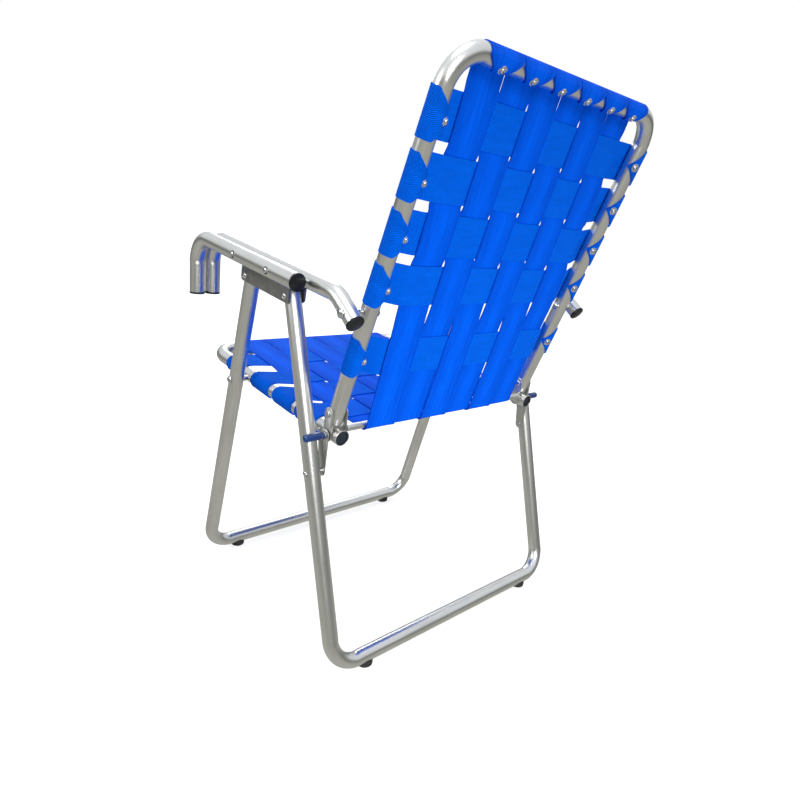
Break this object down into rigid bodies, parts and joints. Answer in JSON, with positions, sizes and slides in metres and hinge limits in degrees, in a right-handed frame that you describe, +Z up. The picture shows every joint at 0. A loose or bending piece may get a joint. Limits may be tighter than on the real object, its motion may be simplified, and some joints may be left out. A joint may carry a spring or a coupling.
{
  "type": "folding lawn chair",
  "caption": "Folding aluminium tube lawn chair with woven webbing seat and back, double hooked arms, nested U-shaped legs and pinned fold links.",
  "frame": {"origin": "on the floor, at the middle of the open chair's bounding box", "axes": "+X to the sitter's left, -Y the way the sitter faces, +Z up"},
  "size_m": [0.6004, 0.5819, 0.8802],
  "materials": {
    "tube": "satin silver anodised tube",
    "plate": "flat plate, duller than the tube",
    "steel": "bright zinc plated rivets, bolts and rod",
    "rubber": "black moulded feet",
    "black_plastic": "black end caps and plugs",
    "sleeve": "dark blue glossy sleeve",
    "webbing": "royal blue woven strap"
  },
  "bodies": {
    "front_legs": {"front_leg_frame": "tube", "foot_front_left": "rubber", "seat_bolt_left": "steel", "seat_spacer_left": "steel", "foot_front_right": "rubber", "seat_bolt_right": "steel", "seat_spacer_right": "steel"},
    "rear_legs": {"rear_leg_frame": "tube", "foot_rear_left": "rubber", "foot_rear_right": "rubber"},
    "seat": {"seat_frame": "tube", "cross_rod": "steel", "seat_webbing": "webbing", "hinge_plate_outer_left": "plate", "hinge_plate_inner_left": "plate", "hinge_rivet_left": "steel", "rail_rivet_left": "steel", "seat_plug_left": "black_plastic", "hinge_plate_outer_right": "plate", "hinge_plate_inner_right": "plate", "hinge_rivet_right": "steel", "rail_rivet_right": "steel", "seat_plug_right": "black_plastic"},
    "back": {"back_frame": "tube", "back_webbing": "webbing", "back_pivot_stud_left": "steel", "back_pivot_stud_right": "steel"},
    "arm_left": {"arm_tube_outer_left": "tube", "arm_tube_inner_left": "tube", "arm_cap_front_outer_left": "black_plastic", "arm_cap_front_inner_left": "black_plastic", "arm_cap_rear_outer_left": "black_plastic", "arm_cap_rear_inner_left": "black_plastic", "arm_bracket_left": "plate", "arm_screw_front_left": "steel", "arm_screw_rear_left": "steel", "leg_rivet_front_left": "steel", "leg_rivet_rear_left": "steel", "back_pivot_bolt_left": "steel"},
    "link_left": {"link_plate_left": "plate", "stop_pin_left": "steel", "stop_sleeve_left": "sleeve", "link_rivet_left": "steel"},
    "arm_right": {"arm_tube_outer_right": "tube", "arm_tube_inner_right": "tube", "arm_cap_front_outer_right": "black_plastic", "arm_cap_front_inner_right": "black_plastic", "arm_cap_rear_outer_right": "black_plastic", "arm_cap_rear_inner_right": "black_plastic", "arm_bracket_right": "plate", "arm_screw_front_right": "steel", "arm_screw_rear_right": "steel", "leg_rivet_front_right": "steel", "leg_rivet_rear_right": "steel", "back_pivot_bolt_right": "steel"},
    "link_right": {"link_plate_right": "plate", "stop_pin_right": "steel", "stop_sleeve_right": "sleeve", "link_rivet_right": "steel"}
  },
  "joints": [
    {"name": "arm_left_fold", "type": "hinge", "parent": "front_legs", "child": "arm_left", "pos_m": [0, -0.0785, 0.5667], "axis": [-1, 0, 0], "range_deg": [0, 84]},
    {"name": "arm_right_fold", "type": "hinge", "parent": "front_legs", "child": "arm_right", "pos_m": [0, -0.0785, 0.5667], "axis": [-1, 0, 0], "range_deg": [0, 84.01]},
    {"name": "seat_fold", "type": "hinge", "parent": "front_legs", "child": "seat", "pos_m": [0, -0.12363, 0.38502], "axis": [-1, 0, 0], "range_deg": [0, 79.6]},
    {"name": "back_fold", "type": "hinge", "parent": "seat", "child": "back", "pos_m": [0, 0.11925, 0.39631], "axis": [1, 0, 0], "range_deg": [0, 96.33]},
    {"name": "rear_leg_fold", "type": "hinge", "parent": "arm_left", "child": "rear_legs", "pos_m": [0, 0.03805, 0.55441], "axis": [1, 0, 0], "range_deg": [0, 55.61]},
    {"name": "link_left_fold", "type": "hinge", "parent": "rear_legs", "child": "link_left", "pos_m": [0, 0.11632, 0.30647], "axis": [-1, 0, 0], "range_deg": [0, 121.6]},
    {"name": "link_right_fold", "type": "hinge", "parent": "rear_legs", "child": "link_right", "pos_m": [0, 0.11632, 0.30647], "axis": [-1, 0, 0], "range_deg": [0, 121.6]}
  ],
  "couplings": [
    {"joint": "arm_right_fold", "follows": "arm_left_fold", "ratio": 1},
    {"joint": "seat_fold", "follows": "arm_left_fold", "ratio": 0.94745},
    {"joint": "back_fold", "follows": "arm_left_fold", "ratio": 1.1467},
    {"joint": "rear_leg_fold", "follows": "arm_left_fold", "ratio": 0.66186},
    {"joint": "link_left_fold", "follows": "arm_left_fold", "ratio": 1.4475},
    {"joint": "link_right_fold", "follows": "arm_left_fold", "ratio": 1.4475}
  ]
}
